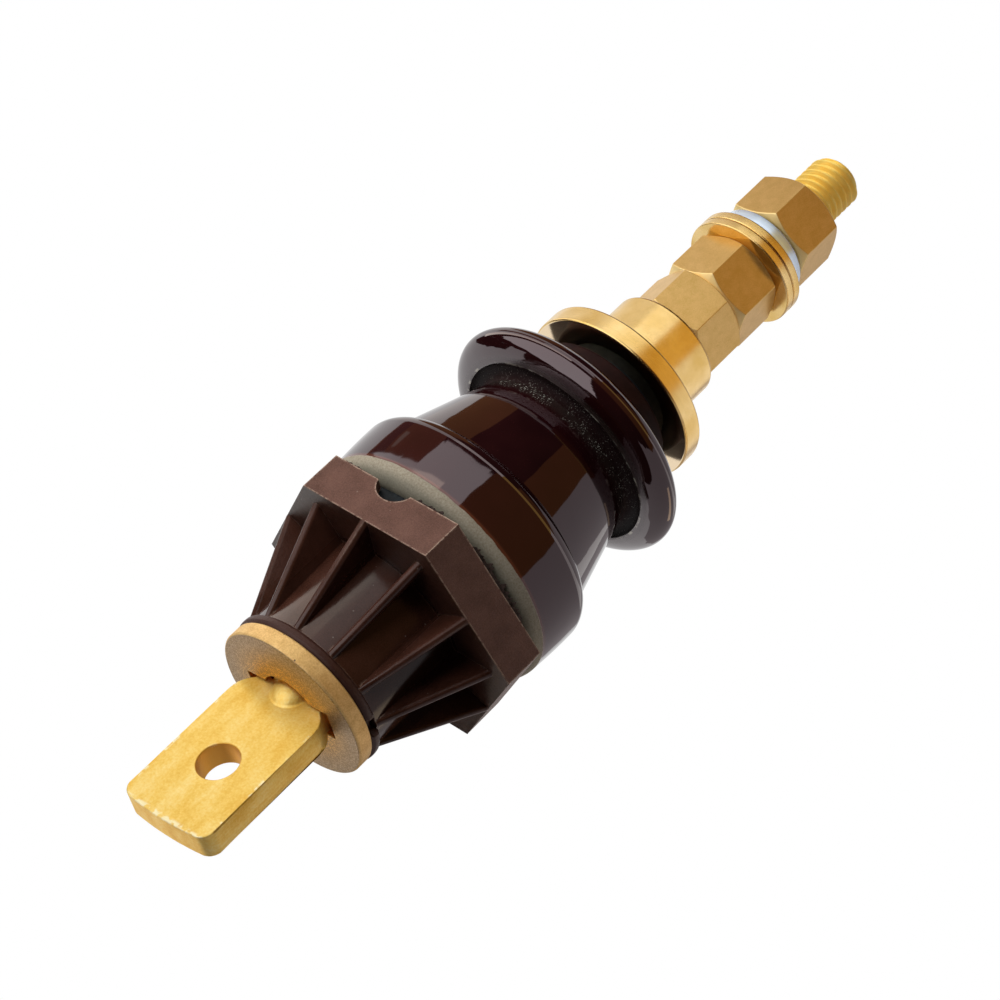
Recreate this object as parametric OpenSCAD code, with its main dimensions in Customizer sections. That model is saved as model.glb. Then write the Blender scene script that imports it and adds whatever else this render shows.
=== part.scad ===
// Low-voltage transformer bushing, drawn clamped together as it comes off the bench.
// The stud's axis is Z, with the terminal thread up. Z = 0 is the underside of the porcelain's foot,
// where it seats on the transformer's cover, and X runs across the palm.

/* [Stud and palm] */
// Outside diameter of the stud's thread
stud_d = 12; // [11:0.1:12]
// Pitch of the stud's thread
thread_pitch = 1.75; // [1:0.25:2]
// Height of the stud's end above the seat
stud_top = 135.5; // [132:0.5:150]
// Depth of the palm's end below the seat
palm_depth = 71.4; // [65:0.1:90]
// Width of the palm across its creased edges
palm_w = 22.9; // [21:0.1:24]
// Thickness of the palm
palm_t = 5.8; // [4:0.1:6.4]
// Diameter of the hole in the palm
palm_hole_d = 8.6; // [6:0.1:11]
// Distance from the palm's end to the hole's centre
palm_hole_inset = 15.5; // [12:0.5:18]

/* [Bottom washer and neck ring] */
// Outside diameter of the slotted bottom washer
bottom_washer_d = 34.7; // [33:0.1:36]
// Thickness of the bottom washer
bottom_washer_t = 3.6; // [2.4:0.1:4]
// Outside diameter of the neck ring
neck_ring_d = 35; // [33:0.1:36]
// Thickness of the neck ring
neck_ring_t = 2.1; // [1.5:0.1:3]

/* [Lower insulator] */
// Width of the flange across its flats
flange_af = 53.8; // [52:0.1:58]
// Thickness of the flange
flange_t = 9.3; // [8:0.1:12]
// Turn of the flange's corners from the palm's width, in degrees
flange_turn = 4.9; // [0:0.1:60]
// Length of the ribbed barrel below the flange
barrel_h = 21.4; // [18:0.1:30]
// Diameter of the barrel at the neck ring
barrel_d = 33.2; // [32:0.1:34]
// Number of ribs, two for each side of the flange
rib_count = 12; // [6:6:12]
// Thickness of a rib
rib_t = 1.9; // [1.2:0.1:2.6]
// Diameter of the round-bottomed notch in the flange's rim
notch_d = 8.4; // [6:0.1:9]

/* [Porcelain] */
// Diameter of the band at its widest
band_d = 56; // [54:0.1:60]
// Height of the band above the seat
band_h = 17.6; // [16:0.1:22]
// Diameter of the shed
shed_d = 55.2; // [52:0.1:60]
// Height of the middle of the shed's lip
shed_z = 43.9; // [42:0.1:50]
// Thickness of the shed's oval lip
lip_t = 8; // [7:0.1:9]
// Diameter of the neck under the cap
neck_d = 32.6; // [30:0.1:34]
// Height of the porcelain's top face
porcelain_top = 55.4; // [54:0.1:64]

/* [Seals] */
// Thickness of the tank gasket
gasket_t = 3.2; // [2.4:0.1:4]
// Gap left between the flange's rim and the porcelain
flange_gap = 0.6; // [0.4:0.1:1.2]
// Thickness of the top seal
top_seal_t = 2.3; // [2:0.1:4]

/* [Cap, nuts and washers] */
// Diameter of the cap's disc
cap_d = 39.7; // [36:0.1:42]
// Thickness of the cap's disc
cap_disc_t = 4.6; // [3:0.1:6]
// Whole height of the cap
cap_h = 18.3; // [14:0.1:20]
// Diameter of the cap's hub
hub_d = 24.4; // [22:0.1:26]
// Width of the nuts across their flats
nut_af = 19.2; // [18:0.1:20]
// Height of the nuts
nut_h = 12.3; // [8:0.1:14]
// Diameter of the flat washers
flat_washer_d = 25.5; // [22:0.1:26]
// Thickness of the flat washers
flat_washer_t = 2.1; // [1.5:0.1:3]
// Diameter of the spring washer
spring_washer_d = 21.1; // [19:0.1:22]
// Thickness of the spring washer's wire
spring_washer_t = 2.5; // [2:0.1:3]
// Rise of the spring washer over its turn
spring_washer_rise = 2.2; // [1:0.1:2.5]

/* [Hidden] */
$fn = 96;

// Colours as they look on the bushing
brass = [0.83, 0.64, 0.32];
dull_brass = [0.66, 0.54, 0.36];
brown_plastic = [0.34, 0.23, 0.19];
brown_glaze = [0.24, 0.1, 0.09];
black_rubber = [0.09, 0.1, 0.11];
zinc = [0.78, 0.8, 0.82];

// Length by which a cutter passes the face it cuts
past = 1;
// Play between the stud and the bores around it
thread_play = 0.05;
stud_play = 0.5;
// Corners of a hexagon stand this much further out than its flats
hex_ratio = 1 / cos(30);

// Heights, going down from the seat
flange_top = -flange_gap;
flange_bottom = flange_top - flange_t;
barrel_bottom = flange_bottom - barrel_h;
neck_ring_bottom = barrel_bottom - neck_ring_t;
washer_bottom = neck_ring_bottom - bottom_washer_t;
palm_end = -palm_depth;

// Heights, going up from the porcelain
cap_bottom = porcelain_top + top_seal_t;
clamp_nut_bottom = cap_bottom + cap_h;
lock_nut_bottom = clamp_nut_bottom + nut_h;
flat_washer_bottom = lock_nut_bottom + nut_h;
spring_washer_bottom = flat_washer_bottom + 2 * flat_washer_t;
terminal_nut_bottom = spring_washer_bottom + spring_washer_t + spring_washer_rise;
terminal_nut_top = terminal_nut_bottom + nut_h;

// Stud: the palm's root stands in a blind slot in the bottom washer, and the thread is plain, at its outside
// radius where it stands free and at its pitch radius where the nuts hold it
stud_r = stud_d / 2;
held_thread_r = stud_r - 3 / 8 * thread_pitch * cos(30);
stud_chamfer = 1.4;
palm_crease = 0.45;
palm_edge = 0.3;
palm_corner_r = 2;
palm_shoulder_r = 6.5;
palm_shoulder_drop = 5.3;
palm_shoulder_sweep = 55;
dome_r = 5;
slot_depth = 1.5;
slot_l = 21.2;
slot_w = 6.8;
palm_root = washer_bottom + slot_depth;
dome_z = washer_bottom + 1.1;

// Bottom washer and neck ring
bottom_washer_bore_r = 6.9;
bottom_washer_chamfer = 0.35;
neck_ring_gap_w = 4;
neck_ring_gap_depth = 2;
neck_ring_gap_turn = 1.5;

// Lower insulator: the porcelain's spigot stands in a socket in the barrel
barrel_draft = 1;
socket_r = 13.9;
socket_depth = 19.9;
gasket_recess_r = 24.8;
rib_foot_r = barrel_d / 2 + 0.3;
rib_top_r = flange_af / 2 + 0.1;
rib_depth = 10;
rib_lean = atan((rib_top_r - rib_foot_r) / barrel_h);
notch_sink = 1;
notch_turn = flange_turn - 91;

// Tank gasket
gasket_r = 24.3;
gasket_bore_r = 14.6;

// Porcelain profile: foot, band, tapered body, shed, neck, with a plain bore and a spigot below
bore_r = 7.25;
spigot_r = 13.2;
spigot_h = 18.7;
spigot_chamfer = 0.6;
foot_round_r = 3.8;
foot_flare = 0.4;
shoulder_r = 3.6;
shoulder_sweep = 78;
body_base_r = band_d / 2 - 3;
lip_reach = 7.1;
lip_r = lip_t / 2;
lip_centre = [shed_d / 2 - lip_reach, shed_z];
undercut_centre = lip_centre - [-0.1, 4.6];
undercut_r = 1.65;
undercut_start = 190;
undercut_end = 30;
lip_start = -75;
lip_end = 50;
neck_fillet_r = 2;
neck_round_r = 1;
neck_r = neck_d / 2;
// The shed's top slopes up to the neck's fillet
neck_foot = shed_z + 6.6;

// Cap and nuts
cap_bore_r = stud_r + stud_play;
cap_edge = 0.5;
hub_fillet_r = 0.6;
hub_r = hub_d / 2;
nut_r = nut_af / 2 * hex_ratio;
nut_chamfer_r = nut_af / 2 - 0.3;
nut_countersink = 1;
clamp_nut_turn = 23;
lock_nut_turn = 50;
terminal_nut_turn = 50.6;
washer_edge = 0.3;

// Spring washer: one left-handed turn with its gap at the back
spring_bore_r = stud_r + stud_play;
spring_gap_turn = 130;
spring_gap_angle = 14;
spring_steps = 48;

// Points on an oval about a centre, from one angle to another
function oval(centre, rx, ry, from, to, steps) = [
    for (i = [0:steps])
        let (a = from + (to - from) * i / steps)
            centre + [rx * cos(a), ry * sin(a)]
];
function arc(centre, r, from, to, steps) = oval(centre, r, r, from, to, steps);

// Half of the palm's outline, from its root down to its end
palm_shoulder_centre = [palm_w / 2 - palm_shoulder_r, washer_bottom - palm_shoulder_drop];
palm_corner_centre = [palm_w / 2 - palm_corner_r, palm_end + palm_corner_r];
palm_root_r = palm_shoulder_centre.x + palm_shoulder_r * cos(palm_shoulder_sweep);
palm_half = concat(
    [[palm_root_r, palm_root]],
    arc(palm_shoulder_centre, palm_shoulder_r, palm_shoulder_sweep, 0, 10),
    arc(palm_corner_centre, palm_corner_r, 0, -90, 8)
);
function mirrored(points) = [for (i = [len(points) - 1:-1:0]) [-points[i].x, points[i].y]];

// Section of the palm: its long edges come to a crease, as a flattened bar's do, and its corners are broken
palm_face_x = palm_w / 2 - palm_crease;
palm_side = [[palm_face_x, palm_t / 2 - palm_edge], [palm_face_x - palm_edge, palm_t / 2]];
palm_half_section = concat([[palm_w / 2, 0]], palm_side, mirrored(palm_side));
palm_section = concat(palm_half_section, -palm_half_section);

module palm() {
    intersection() {
        rotate([90, 0, 0])
            linear_extrude(palm_t, center = true)
                polygon(concat(palm_half, mirrored(palm_half)));
        translate([0, 0, palm_end - past])
            linear_extrude(palm_root - palm_end + 2 * past)
                polygon(palm_section);
    }
}

module stud() {
    color(brass)
        difference() {
            union() {
                translate([0, 0, palm_root])
                    cylinder(r = stud_r, h = clamp_nut_bottom - palm_root);
                translate([0, 0, clamp_nut_bottom])
                    cylinder(r = held_thread_r, h = terminal_nut_top - clamp_nut_bottom);
                translate([0, 0, terminal_nut_top])
                    cylinder(r = stud_r, h = stud_top - stud_chamfer - terminal_nut_top);
                translate([0, 0, stud_top - stud_chamfer])
                    cylinder(r1 = stud_r, r2 = stud_r - stud_chamfer, h = stud_chamfer);
                translate([0, 0, dome_z])
                    sphere(r = dome_r);
                palm();
            }
            translate([0, 0, palm_end + palm_hole_inset])
                rotate([90, 0, 0])
                    cylinder(d = palm_hole_d, h = palm_t + 2 * past, center = true);
        }
}

// A flat ring standing at a height, with its outer edges broken
module ring(z, r, bore, t, edge) {
    translate([0, 0, z])
        rotate_extrude()
            polygon([
                [bore, 0], [r - edge, 0], [r, edge],
                [r, t - edge], [r - edge, t], [bore, t]
            ]);
}

module bottom_washer() {
    color(dull_brass)
        difference() {
            ring(washer_bottom, bottom_washer_d / 2, bottom_washer_bore_r, bottom_washer_t,
                bottom_washer_chamfer);
            translate([-slot_l / 2, -slot_w / 2, washer_bottom - past])
                cube([slot_l, slot_w, slot_depth + past]);
        }
}

module neck_ring() {
    gap_x = neck_ring_d / 2 - neck_ring_gap_depth;
    color(brown_plastic)
        difference() {
            translate([0, 0, neck_ring_bottom])
                cylinder(d = neck_ring_d, h = neck_ring_t);
            translate([0, 0, neck_ring_bottom - past])
                cylinder(r = stud_r + stud_play, h = neck_ring_t + 2 * past);
            rotate(neck_ring_gap_turn)
                translate([gap_x, -neck_ring_gap_w / 2, neck_ring_bottom - past])
                    cube([neck_ring_gap_depth + past, neck_ring_gap_w, neck_ring_t + 2 * past]);
        }
}

// One rib, a slanted blade with a round outer edge, longer than the barrel at both ends
module rib() {
    blade = concat(
        arc([-rib_t / 2, 0], rib_t / 2, -90, 90, 8),
        [[-rib_depth, rib_t / 2], [-rib_depth, -rib_t / 2]]
    );
    translate([rib_foot_r, 0, barrel_bottom])
        rotate([0, rib_lean, 0])
            translate([0, 0, -rib_depth])
                linear_extrude(barrel_h / cos(rib_lean) + 2 * rib_depth)
                    polygon(blade);
}

// The ribs, trimmed to stand between the neck ring and the middle of the flange
module ribs() {
    intersection() {
        for (i = [0:rib_count - 1])
            rotate(flange_turn + i * 360 / rib_count)
                rib();
        translate([0, 0, barrel_bottom])
            cylinder(d = 2 * flange_af, h = barrel_h + flange_t / 2);
    }
}

module flange_hexagon(h) {
    rotate(flange_turn)
        cylinder(r = flange_af / 2 * hex_ratio, h = h, $fn = 6);
}

// The ribs run on past the flange's underside, so they are cut to the flange's own outline
module lower_insulator() {
    color(brown_plastic)
        difference() {
            union() {
                translate([0, 0, barrel_bottom])
                    cylinder(r1 = barrel_d / 2, r2 = barrel_d / 2 + barrel_draft, h = barrel_h + past);
                translate([0, 0, flange_bottom])
                    flange_hexagon(flange_t);
                intersection() {
                    ribs();
                    translate([0, 0, barrel_bottom])
                        flange_hexagon(barrel_h + flange_t);
                }
            }
            translate([0, 0, barrel_bottom - past])
                cylinder(r = stud_r + stud_play, h = barrel_h + flange_t + 2 * past);
            translate([0, 0, flange_top - socket_depth])
                cylinder(r = socket_r, h = socket_depth + past);
            translate([0, 0, -gasket_t])
                cylinder(r = gasket_recess_r, h = gasket_t + past);
            rotate(notch_turn)
                translate([gasket_recess_r - past, 0, flange_top + notch_sink])
                    rotate([0, 90, 0])
                        cylinder(d = notch_d, h = flange_af / 2);
        }
}

module tank_gasket() {
    color(black_rubber)
        translate([0, 0, -gasket_t])
            difference() {
                cylinder(r = gasket_r, h = gasket_t);
                translate([0, 0, -past])
                    cylinder(r = gasket_bore_r, h = gasket_t + 2 * past);
            }
}

// Half section of the porcelain, from the spigot's end up the outside and over the top face
foot_edge = band_d / 2 - foot_flare;
band_shoulder = [band_d / 2 - shoulder_r, band_h - shoulder_r * sin(shoulder_sweep)];
porcelain_section = concat(
    [[bore_r, -spigot_h], [spigot_r - spigot_chamfer, -spigot_h], [spigot_r, spigot_chamfer - spigot_h]],
    [[spigot_r, 0]],
    arc([foot_edge - foot_round_r, foot_round_r], foot_round_r, -90, 0, 10),
    arc(band_shoulder, shoulder_r, 0, shoulder_sweep, 10),
    [[body_base_r, band_h]],
    arc(undercut_centre, undercut_r, undercut_start, undercut_end, 12),
    oval(lip_centre, lip_reach, lip_r, lip_start, lip_end, 28),
    arc([neck_r + neck_fillet_r, neck_foot + neck_fillet_r], neck_fillet_r, 244, 180, 6),
    arc([neck_r - neck_round_r, porcelain_top - neck_round_r], neck_round_r, 0, 90, 6),
    [[bore_r, porcelain_top]]
);

module porcelain_insulator() {
    color(brown_glaze)
        rotate_extrude()
            polygon(porcelain_section);
}

module top_seal() {
    color(black_rubber)
        translate([0, 0, porcelain_top])
            difference() {
                cylinder(d = hub_d, h = top_seal_t);
                translate([0, 0, -past])
                    cylinder(r = bore_r, h = top_seal_t + 2 * past);
            }
}

// Turned section of the cap: a disc with broken edges and a hub above it
module thrust_cap() {
    cap_r = cap_d / 2;
    fillet_centre = [hub_r + hub_fillet_r, cap_disc_t + hub_fillet_r];
    color(brass)
        translate([0, 0, cap_bottom])
            rotate_extrude()
                polygon(concat(
                    [[cap_bore_r, 0], [cap_r - cap_edge, 0], [cap_r, cap_edge]],
                    [[cap_r, cap_disc_t - cap_edge], [cap_r - cap_edge, cap_disc_t]],
                    arc(fillet_centre, hub_fillet_r, 270, 180, 4),
                    [[hub_r, cap_h - cap_edge], [hub_r - cap_edge, cap_h], [cap_bore_r, cap_h]]
                ));
}

// Hexagon nut with its corners chamfered at both ends and a countersunk thread bore
module hexagon_nut(z, turn) {
    chamfer = nut_r - nut_chamfer_r;
    nut_bore_r = held_thread_r + thread_play;
    color(brass)
        translate([0, 0, z])
            rotate(turn)
                intersection() {
                    cylinder(r = nut_r, h = nut_h, $fn = 6);
                    rotate_extrude()
                        polygon([
                            [nut_bore_r + nut_countersink, 0], [nut_chamfer_r, 0],
                            [nut_r + past, chamfer + past], [nut_r + past, nut_h - chamfer - past],
                            [nut_chamfer_r, nut_h], [nut_bore_r + nut_countersink, nut_h],
                            [nut_bore_r, nut_h - nut_countersink], [nut_bore_r, nut_countersink]
                        ]);
                }
}

module clamp_nut() {
    hexagon_nut(clamp_nut_bottom, clamp_nut_turn);
}

module lock_nut() {
    hexagon_nut(lock_nut_bottom, lock_nut_turn);
}

module terminal_nut() {
    hexagon_nut(terminal_nut_bottom, terminal_nut_turn);
}

module flat_washer(z) {
    color(brass)
        ring(z, flat_washer_d / 2, stud_r + stud_play, flat_washer_t, washer_edge);
}

module lower_flat_washer() {
    flat_washer(flat_washer_bottom);
}

module upper_flat_washer() {
    flat_washer(flat_washer_bottom + flat_washer_t);
}

// Four corners of the spring washer's wire at a share of its turn, from the high end down to the low end
function spring_corners(share) =
    let (
        a = spring_gap_turn + spring_gap_angle / 2 + (360 - spring_gap_angle) * share,
        z = spring_washer_bottom + spring_washer_rise * (1 - share),
        out = [cos(a), sin(a)]
    ) [
        for (corner = [[0, 0], [1, 0], [1, 1], [0, 1]])
            let (r = spring_bore_r + (spring_washer_d / 2 - spring_bore_r) * corner[0])
                [r * out.x, r * out.y, z + spring_washer_t * corner[1]]
    ];

module spring_washer() {
    points = [for (i = [0:spring_steps]) each spring_corners(i / spring_steps)];
    sides = [
        for (i = [0:spring_steps - 1], k = [0:3])
            [4 * i + k, 4 * i + (k + 1) % 4, 4 * i + 4 + (k + 1) % 4, 4 * i + 4 + k]
    ];
    last = 4 * spring_steps;
    color(zinc)
        polyhedron(points, concat([[3, 2, 1, 0]], sides, [[last, last + 1, last + 2, last + 3]]), 4);
}

stud();
bottom_washer();
neck_ring();
lower_insulator();
tank_gasket();
porcelain_insulator();
top_seal();
thrust_cap();
clamp_nut();
lock_nut();
lower_flat_washer();
upper_flat_washer();
spring_washer();
terminal_nut();
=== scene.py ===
import math
import random

import bmesh
import bpy
from mathutils import Matrix, Vector, noise


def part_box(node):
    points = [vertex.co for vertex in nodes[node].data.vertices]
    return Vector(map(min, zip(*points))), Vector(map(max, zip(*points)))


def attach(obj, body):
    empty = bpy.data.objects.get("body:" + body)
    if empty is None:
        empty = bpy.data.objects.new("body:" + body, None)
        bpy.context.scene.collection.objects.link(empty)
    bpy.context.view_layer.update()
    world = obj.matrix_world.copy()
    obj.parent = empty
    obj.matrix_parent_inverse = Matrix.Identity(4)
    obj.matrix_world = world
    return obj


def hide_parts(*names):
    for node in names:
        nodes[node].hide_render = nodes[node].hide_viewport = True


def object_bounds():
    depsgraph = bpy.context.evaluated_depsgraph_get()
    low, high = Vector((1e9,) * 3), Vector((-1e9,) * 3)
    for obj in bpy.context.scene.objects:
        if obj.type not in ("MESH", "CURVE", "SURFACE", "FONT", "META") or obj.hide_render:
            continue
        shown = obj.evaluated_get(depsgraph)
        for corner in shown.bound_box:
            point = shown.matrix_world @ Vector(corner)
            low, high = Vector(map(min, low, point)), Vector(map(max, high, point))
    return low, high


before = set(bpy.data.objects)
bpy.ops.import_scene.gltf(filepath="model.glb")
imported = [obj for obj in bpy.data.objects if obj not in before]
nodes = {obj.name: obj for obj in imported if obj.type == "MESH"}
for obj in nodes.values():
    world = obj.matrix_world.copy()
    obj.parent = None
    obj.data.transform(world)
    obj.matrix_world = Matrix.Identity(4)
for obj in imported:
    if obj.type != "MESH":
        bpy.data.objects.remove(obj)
cad_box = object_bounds()
MM = 0.001


def span(node):
    """Lowest and highest z of a CAD node, in millimetres."""
    low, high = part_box(node)
    return low.z / MM, high.z / MM


def reach(node):
    """Outer radius of a round CAD node, in millimetres."""
    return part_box(node)[1].y / MM


# Camera: a point on the stud's axis, the pixel where it lands and its depth, the direction from the
# part to the camera, and how far the stud's axis leans above the picture's right
FRAME_PX = 1000
FOCAL_PX = 3000
SENSOR_MM = 36
AIM = Vector((0, 0, 3.3 * MM))
AIM_PX = (432, 569)
AIM_DEPTH = 581.73 * MM
AZIMUTH = math.radians(39.74)
ELEVATION = math.radians(-26.2)
AXIS_LEAN = math.radians(43.93)


def polar(azimuth, elevation):
    """Unit vector towards an azimuth, measured from -Y towards +X, and an elevation."""
    flat = math.cos(elevation)
    return Vector((math.sin(azimuth) * flat, -math.cos(azimuth) * flat, math.sin(elevation)))


def camera_axes():
    """The camera's right, up and back directions."""
    back = polar(AZIMUTH, ELEVATION)
    axis = Vector((0, 0, 1))
    axis = (axis - axis.dot(back) * back).normalized()
    across = back.cross(axis)
    right = math.cos(AXIS_LEAN) * axis - math.sin(AXIS_LEAN) * across
    up = math.sin(AXIS_LEAN) * axis + math.cos(AXIS_LEAN) * across
    return right, up, back


RIGHT, UP, BACK = camera_axes()


def add_camera():
    data = bpy.data.cameras.new("camera")
    data.sensor_width = SENSOR_MM
    data.lens = SENSOR_MM * FOCAL_PX / FRAME_PX
    data.clip_start = 10 * MM
    camera = bpy.data.objects.new("camera", data)
    bpy.context.scene.collection.objects.link(camera)
    to_right = (AIM_PX[0] - FRAME_PX / 2) / FOCAL_PX * AIM_DEPTH
    to_up = (FRAME_PX / 2 - AIM_PX[1]) / FOCAL_PX * AIM_DEPTH
    place = Matrix((RIGHT, UP, BACK)).transposed().to_4x4()
    place.translation = AIM + AIM_DEPTH * BACK - to_right * RIGHT - to_up * UP
    camera.matrix_world = place
    bpy.context.scene.camera = camera


class Finish:
    """A node material: one Principled shader, and helpers for the textures that drive it."""

    def __init__(self, name, **constants):
        self.material = bpy.data.materials.new(name)
        self.material.use_nodes = True
        self.tree = self.material.node_tree
        self.shader = self.tree.nodes["Principled BSDF"]
        self.place = self.tree.nodes.new("ShaderNodeTexCoord").outputs["Object"]
        for socket, value in constants.items():
            self.shader.inputs[socket.replace("_", " ")].default_value = value

    def add(self, kind, **inputs):
        node = self.tree.nodes.new("ShaderNode" + kind)
        for socket, value in inputs.items():
            self.link(value, node.inputs[socket])
        return node

    def link(self, value, socket):
        if isinstance(value, bpy.types.NodeSocket):
            self.tree.links.new(value, socket)
        else:
            socket.default_value = value

    def drive(self, socket, value):
        self.link(value, self.shader.inputs[socket])

    def math(self, operation, a, b=0.0):
        node = self.add("Math")
        node.operation = operation
        self.link(a, node.inputs[0])
        self.link(b, node.inputs[1])
        return node.outputs[0]

    def product(self, *values):
        total = values[0]
        for value in values[1:]:
            total = self.math("MULTIPLY", total, value)
        return total

    def weighted(self, *terms):
        """The sum of values, each given with its weight."""
        total, *others = [self.product(value, weight) for weight, value in terms]
        for other in others:
            total = self.math("ADD", total, other)
        return total

    def stretched(self, place, stretch):
        return self.add("Mapping", Vector=place, Scale=stretch).outputs[0]

    def noise(self, size, detail=3.0, stretch=None, place=None):
        """Noise from 0 to 1 with features of about that size, in metres."""
        place = place or self.place
        if stretch:
            place = self.stretched(place, stretch)
        return self.add("TexNoise", Vector=place, Scale=1 / size, Detail=detail).outputs["Fac"]

    def specks(self, size, share):
        """A mask of small separate dots, about a share of the cells of that size."""
        cells = self.add("TexVoronoi", Vector=self.place, Scale=1 / size)
        dot = self.smooth(cells.outputs["Distance"], 0.3, 0.16)
        pick = self.add("SeparateColor", Color=cells.outputs["Color"]).outputs[0]
        return self.product(dot, self.math("LESS_THAN", pick, share))

    def smooth(self, value, low, high):
        """0 at low and 1 at high, eased between them."""
        node = self.add("MapRange", Value=value)
        node.interpolation_type = "SMOOTHSTEP"
        node.inputs["From Min"].default_value = low
        node.inputs["From Max"].default_value = high
        return node.outputs[0]

    def band(self, value, low, rise, fall, high):
        """1 between rise and fall, easing to 0 at low and at high."""
        return self.product(self.smooth(value, low, rise), self.smooth(value, high, fall))

    def ranged(self, value, low, high):
        """A value from 0 to 1 carried to low to high."""
        node = self.add("MapRange", Value=value)
        node.inputs["To Min"].default_value = low
        node.inputs["To Max"].default_value = high
        return node.outputs[0]

    def ramp(self, value, *stops):
        node = self.add("ValToRGB", Fac=value)
        points = node.color_ramp.elements
        while len(points) < len(stops):
            points.new(0.5)
        for point, (at, colour) in zip(points, stops):
            point.position = at
            point.color = (*colour, 1)
        return node.outputs[0]

    def mix(self, share, a, b):
        node = self.add("Mix")
        node.data_type = "RGBA"
        self.link(share, node.inputs["Factor"])
        for socket, colour in ((node.inputs[6], a), (node.inputs[7], b)):
            self.link(colour if isinstance(colour, bpy.types.NodeSocket) else (*colour, 1), socket)
        return node.outputs[2]

    def part(self, vector, axis):
        """One part of a vector: axis 0, 1 or 2 for x, y or z."""
        return self.add("SeparateXYZ", Vector=vector).outputs[axis]

    def height(self):
        """Distance along the stud's axis, in millimetres."""
        return self.product(self.part(self.place, 2), 1 / MM)

    def radius(self):
        """Distance from the stud's axis, in millimetres."""
        return self.length(self.stretched(self.place, (1, 1, 0)))

    def from_hole(self):
        """Distance from the axis of the palm's hole, in millimetres."""
        to_hole = (0, 0, -HOLE_Z * MM)
        shifted = self.add("Mapping", Vector=self.place, Location=to_hole, Scale=(1, 0, 1))
        return self.length(shifted.outputs[0])

    def length(self, vector):
        node = self.add("VectorMath")
        node.operation = "LENGTH"
        self.link(vector, node.inputs[0])
        return self.product(node.outputs["Value"], 1 / MM)

    def off_middle(self, axis):
        """Distance from the middle plane of the palm along an axis, in millimetres."""
        return self.product(self.math("ABSOLUTE", self.part(self.place, axis)), 1 / MM)

    def turned_place(self):
        """Texture place that is the same all round the axis, for marks left by turning."""
        r = self.product(self.radius(), MM)
        return self.add("CombineXYZ", X=r, Z=self.part(self.place, 2)).outputs[0]

    def edges(self, size):
        """A mask of the convex and concave edges within that distance, in metres."""
        bent = self.add("Bevel")
        bent.samples = 4
        bent.inputs["Radius"].default_value = size
        turn = self.add("VectorMath")
        turn.operation = "DOT_PRODUCT"
        self.link(bent.outputs[0], turn.inputs[0])
        self.link(self.add("NewGeometry").outputs["Normal"], turn.inputs[1])
        return self.smooth(turn.outputs["Value"], 0.995, 0.9)

    def bump(self, height, depth):
        node = self.add("Bump", Height=height, Distance=depth)
        self.drive("Normal", node.outputs[0])


def satin_brass():
    """Flattened bar: satin and mottled, sawn along its sides, with bright wear on its edges and end."""
    m = Finish("satin_brass", Metallic=0.55)
    half_w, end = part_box("stud")[1].x / MM, span("stud")[0]
    cloud = m.noise(4 * MM, 5, (1.3, 1, 0.45))
    grain = m.noise(0.45 * MM, 3)
    sides = m.smooth(m.off_middle(0), half_w - 0.85, half_w - 0.35)
    sawn = m.product(m.noise(0.5 * MM, 3, (1, 1, 0.1)), sides)
    tone = m.weighted((0.6, cloud), (0.4, grain), (0.16, sides), (-0.34, sawn))
    dark, gold, pale = (0.86, 0.52, 0.08), (0.93, 0.64, 0.15), (0.97, 0.74, 0.27)
    body = m.ramp(tone, (0.34, dark), (0.5, gold), (0.66, pale))
    body = m.mix(m.smooth(m.from_hole(), HOLE_R + 0.3, HOLE_R + 0.1), body, (0.78, 0.42, 0.06))
    rubbed = m.product(m.edges(0.6 * MM), m.smooth(m.noise(2.4 * MM, 2), 0.55, 0.66))
    on_face = m.smooth(m.off_middle(1), PALM_T / 2 - 0.45, PALM_T / 2 - 0.2)
    at_end = m.product(on_face, m.smooth(m.height(), end + 1.4, end + 0.7))
    chipped = m.product(at_end, m.smooth(m.noise(1.3 * MM, 3), 0.42, 0.58), 0.8)
    m.drive("Base Color", m.mix(m.math("MAXIMUM", rubbed, chipped), body, (1.0, 0.92, 0.62)))
    m.drive("Roughness", m.ranged(tone, 0.58, 0.42))
    m.bump(m.math("ADD", m.noise(1.8 * MM, 3), grain), 0.05 * MM)
    return m.material


def threaded_brass():
    """The stud's threaded end: bright gold with faint marks round it."""
    m = Finish("threaded_brass", Metallic=0.35)
    marks = m.noise(0.3 * MM, 2, place=m.turned_place())
    tone = m.weighted((0.6, m.noise(3 * MM, 3)), (0.4, marks))
    m.drive("Base Color", m.ramp(tone, (0.35, (0.99, 0.61, 0.08)), (0.65, (1.0, 0.75, 0.20))))
    m.drive("Roughness", m.ranged(tone, 0.42, 0.3))
    m.bump(marks, 0.01 * MM)
    return m.material


def turned_brass():
    """Cap and flat washers: fine turning rings, and a polished underside on the cap."""
    m = Finish("turned_brass", Metallic=1.0)
    cap_bottom = span("thrust_cap")[0]
    rings = m.noise(0.25 * MM, 2, place=m.turned_place())
    cloud = m.noise(6 * MM, 4)
    gold = m.ramp(cloud, (0.3, (0.67, 0.44, 0.135)), (0.7, (0.80, 0.58, 0.265)))
    under = m.smooth(m.height(), cap_bottom + 0.08, cap_bottom + 0.01)
    m.drive("Base Color", m.mix(under, gold, (0.82, 0.65, 0.44)))
    m.drive("Roughness", m.product(m.ranged(rings, 0.19, 0.3), m.ranged(under, 1, 0.25)))
    m.bump(rings, 0.005 * MM)
    return m.material


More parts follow.
